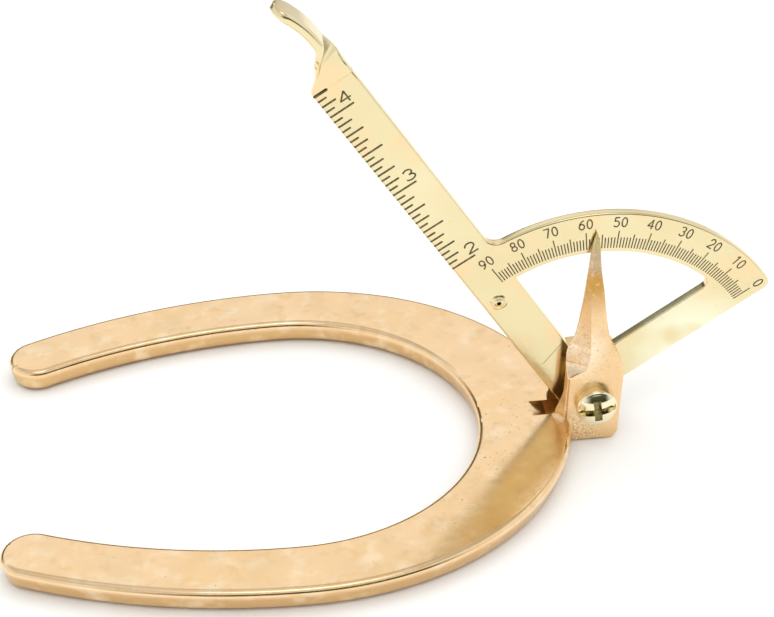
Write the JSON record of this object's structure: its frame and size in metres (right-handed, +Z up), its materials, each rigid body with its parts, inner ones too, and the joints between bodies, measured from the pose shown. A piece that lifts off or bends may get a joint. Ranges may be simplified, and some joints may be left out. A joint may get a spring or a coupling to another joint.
{
  "type": "hoof gauge",
  "caption": "Hoof gauge: horseshoe-shaped bronze plate with a forked pointer at its toe and a hinged brass protractor arm with a ruler edge, for reading the hoof's angle and toe length.",
  "frame": {"origin": "on the plate's underside at the middle of the toe, on the plate's plane of symmetry", "axes": "+X out of the toe, towards the protractor's arc; +Z up from the plate; +Y completes the right-handed frame, away from the screw's head"},
  "size_m": [0.1859, 0.1168, 0.1198],
  "materials": {
    "bronze": "cast, satin polished",
    "brass": "sheet, polished",
    "polished": "turned, bright"
  },
  "bodies": {
    "base": {"shoe_plate": "bronze", "pointer_bracket": "bronze", "pivot_screw": "polished", "front_washer": "polished", "spring_washer": "polished", "nut_washer": "polished", "pivot_nut": "polished"},
    "arm": {"protractor_arm": "brass", "stop_rivet": "brass"}
  },
  "joints": [
    {"name": "arm_hinge", "type": "hinge", "parent": "base", "child": "arm", "pos_m": [0.0168, 0, 0.0112], "axis": [0, 1, 0], "range_deg": [-32, 31]}
  ]
}
